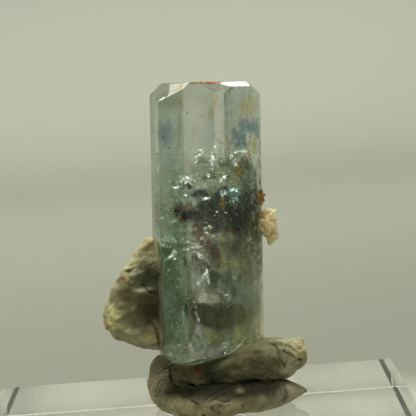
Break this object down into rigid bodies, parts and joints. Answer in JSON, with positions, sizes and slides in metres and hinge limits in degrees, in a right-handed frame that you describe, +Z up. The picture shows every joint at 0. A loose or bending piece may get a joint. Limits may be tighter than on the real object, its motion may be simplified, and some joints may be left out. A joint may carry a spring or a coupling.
{
  "type": "aquamarine specimen",
  "caption": "Upright prism of pale blue-green aquamarine on feldspar, held by grey putty on a clear rectangular display block.",
  "frame": {"origin": "middle of the clear block's underside", "axes": "+Z up, through the block; +X to the right and +Y away from a viewer who faces the crystal's front sides"},
  "size_m": [0.0762, 0.0508, 0.0834],
  "materials": {
    "beryl": "natural crystal faces, glossy, see-through",
    "feldspar": "rough broken feldspar",
    "rust": "earthy iron stain",
    "stained_feldspar": "rough, orange-stained",
    "albite": "rough with pearly cleavage",
    "putty": "dull mineral tack with pressed finger ridges",
    "acrylic": "polished, clear"
  },
  "bodies": {
    "root": {"aquamarine_crystal": "beryl", "feldspar_matrix": "feldspar", "rust_chip": "rust", "feldspar_chip": "stained_feldspar", "albite_plate": "albite", "display_putty": "putty", "acrylic_block": "acrylic"}
  },
  "joints": []
}
